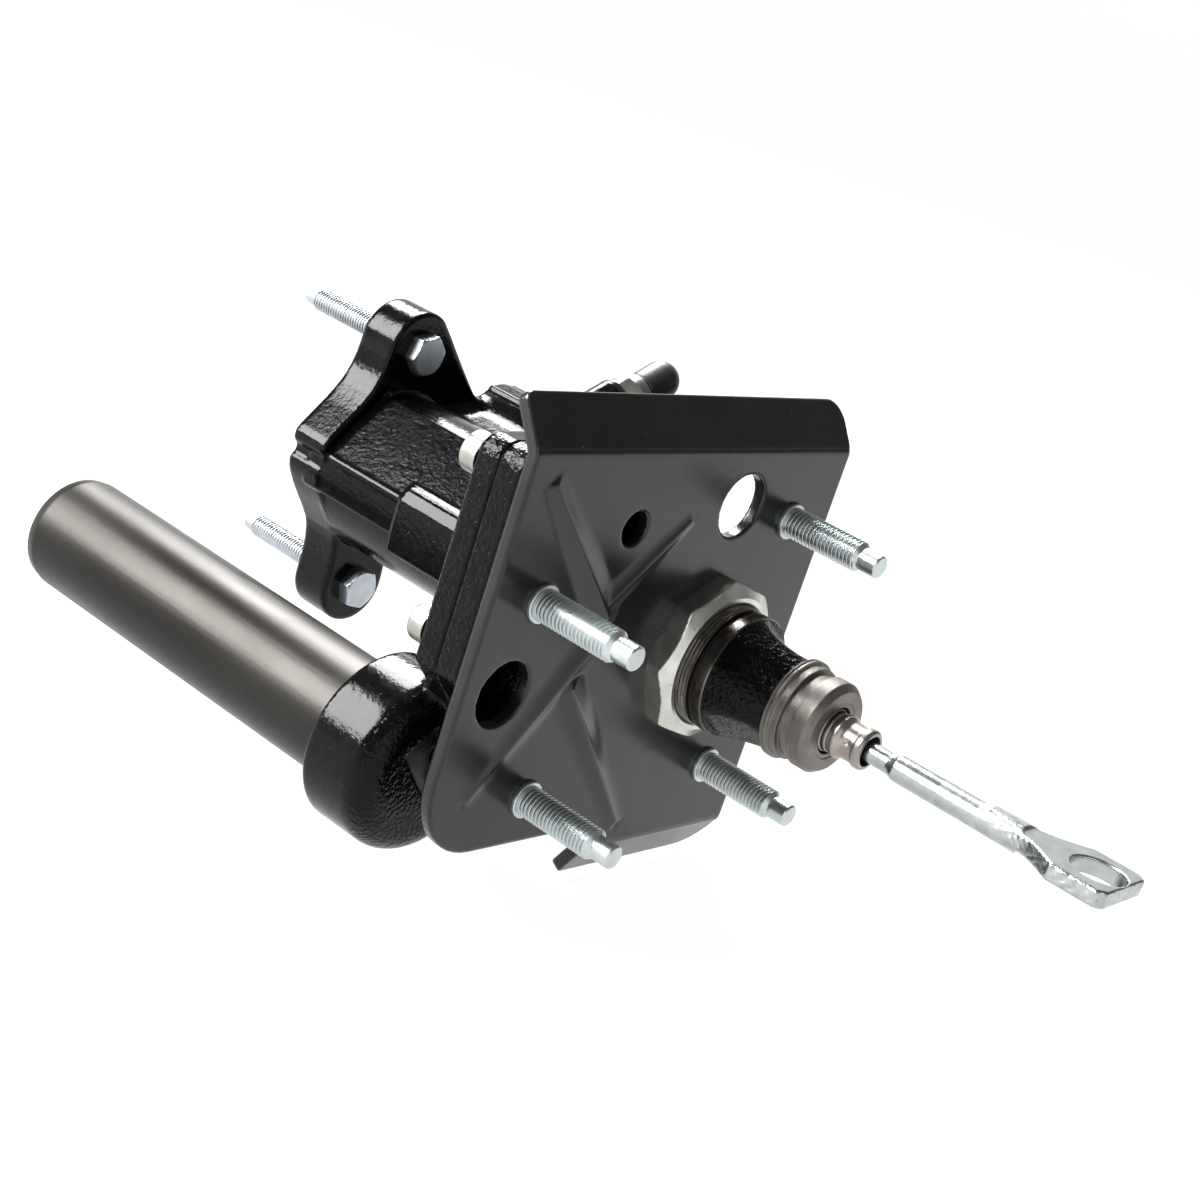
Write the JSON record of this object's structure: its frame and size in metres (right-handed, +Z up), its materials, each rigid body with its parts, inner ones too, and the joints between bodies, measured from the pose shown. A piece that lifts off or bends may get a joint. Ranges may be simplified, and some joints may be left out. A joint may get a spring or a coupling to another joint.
{
  "type": "hydraulic brake booster",
  "caption": "Hydraulic brake booster with a stamped firewall bracket, threaded studs, cast power section, side accumulator, pedal rod with an eye and master-cylinder flange.",
  "frame": {"origin": "where the axis of the pedal rod and power piston crosses the rear face of the mounting bracket", "axes": "+X along the rod axis, towards the brake pedal; +Z up, towards the bracket's top flange; +Y towards the side away from the accumulator"},
  "size_m": [0.3505, 0.1914, 0.1606],
  "materials": {
    "main_housing": "thick gloss black paint over rough casting",
    "rear_cover": "gloss black paint over casting, machined bare bands on the nose",
    "cover_seal": "black rubber",
    "cover_screws": "bare steel",
    "mounting_bracket": "smooth satin-gloss black paint on stamped steel",
    "mounting_studs": "bright zinc plate",
    "bracket_nut": "grey zinc plate",
    "nose_ring": "black rubber",
    "rod_guide_bush": "machined bronze",
    "input_seal": "black rubber",
    "bush_retaining_ring": "dark spring steel",
    "power_piston": "ground steel",
    "piston_seal": "black rubber",
    "lever_drive_pin": "ground steel",
    "rod_socket": "machined steel, staked rim",
    "rod_grommet": "black rubber",
    "pedal_rod": "bright zinc plate on a forging",
    "output_rod": "zinc plate",
    "output_rod_retainer": "spring steel",
    "piston_return_spring": "spring steel",
    "spring_seat": "stamped steel",
    "spring_seat_ring": "dark spring steel",
    "valve_sleeve": "ground steel",
    "spool_valve": "ground steel",
    "spool_spring": "spring steel",
    "spool_plug": "machined steel",
    "plug_o_ring": "black rubber",
    "plug_retaining_ring": "dark spring steel",
    "valve_lever": "stamped steel",
    "lever_pivot_pin": "ground steel",
    "port_tube_seats": "machined brass",
    "accumulator_can": "bare drawn steel, satin brown grey",
    "accumulator_piston": "turned aluminium",
    "accumulator_piston_seal": "black rubber",
    "accumulator_o_ring": "black rubber",
    "accumulator_retaining_ring": "dark spring steel",
    "check_valve_seat": "machined brass",
    "check_ball": "polished steel",
    "check_spring": "spring steel",
    "return_nipple": "zinc plate",
    "nipple_cap": "black rubber",
    "master_cylinder_bolts": "pale blue zinc plate"
  },
  "bodies": {
    "casing": {"main_housing": "main_housing", "rear_cover": "rear_cover", "cover_seal": "cover_seal", "cover_screws": "cover_screws", "mounting_bracket": "mounting_bracket", "mounting_studs": "mounting_studs", "bracket_nut": "bracket_nut", "nose_ring": "nose_ring", "rod_guide_bush": "rod_guide_bush", "input_seal": "input_seal", "bush_retaining_ring": "bush_retaining_ring", "piston_return_spring": "piston_return_spring", "spring_seat": "spring_seat", "spring_seat_ring": "spring_seat_ring", "valve_sleeve": "valve_sleeve", "spool_spring": "spool_spring", "spool_plug": "spool_plug", "plug_o_ring": "plug_o_ring", "plug_retaining_ring": "plug_retaining_ring", "lever_pivot_pin": "lever_pivot_pin", "port_tube_seats": "port_tube_seats", "accumulator_can": "accumulator_can", "accumulator_o_ring": "accumulator_o_ring", "accumulator_retaining_ring": "accumulator_retaining_ring", "check_valve_seat": "check_valve_seat", "check_spring": "check_spring", "return_nipple": "return_nipple", "nipple_cap": "nipple_cap", "master_cylinder_bolts": "master_cylinder_bolts"},
    "piston": {"power_piston": "power_piston", "piston_seal": "piston_seal", "lever_drive_pin": "lever_drive_pin", "rod_socket": "rod_socket", "output_rod": "output_rod", "output_rod_retainer": "output_rod_retainer"},
    "grommet": {"rod_grommet": "rod_grommet"},
    "rod": {"pedal_rod": "pedal_rod"},
    "spool": {"spool_valve": "spool_valve"},
    "lever": {"valve_lever": "valve_lever"},
    "separator": {"accumulator_piston": "accumulator_piston", "accumulator_piston_seal": "accumulator_piston_seal"},
    "check_ball": {"check_ball": "check_ball"}
  },
  "joints": [
    {"name": "pedal_stroke", "type": "slide", "parent": "casing", "child": "piston", "axis": [1, 0, 0], "range_m": [-0.025, 0], "stiffness_N_per_m": 1500, "springref_m": 0.02, "deforming": ["piston_return_spring"]},
    {"name": "rod_pitch", "type": "hinge", "parent": "piston", "child": "grommet", "pos_m": [0.06, 0, 0], "axis": [0, 1, 0], "range_deg": [-4, 4]},
    {"name": "rod_yaw", "type": "hinge", "parent": "grommet", "child": "rod", "pos_m": [0.06, 0, 0], "axis": [0, 0, 1], "range_deg": [-4, 4]},
    {"name": "lever_swing", "type": "hinge", "parent": "casing", "child": "lever", "pos_m": [-0.068, 0.03999, 0.01468], "axis": [0, -0.3446, 0.9388], "range_deg": [-37.72, 0]},
    {"name": "spool_travel", "type": "slide", "parent": "casing", "child": "spool", "axis": [1, 0, 0], "range_m": [0, 0.00369], "deforming": ["spool_spring"]},
    {"name": "separator_travel", "type": "slide", "parent": "casing", "child": "separator", "axis": [1, 0, 0], "range_m": [-0.055, 0.06]},
    {"name": "check_ball_lift", "type": "slide", "parent": "casing", "child": "check_ball", "axis": [1, 0, 0], "range_m": [-0.0008, 0], "stiffness_N_per_m": 50, "springref_m": 0.001, "deforming": ["check_spring"]}
  ],
  "couplings": [
    {"joint": "lever_swing", "follows": "pedal_stroke", "rad_per_m": 26.329},
    {"joint": "spool_travel", "follows": "pedal_stroke", "ratio": -0.14707}
  ]
}
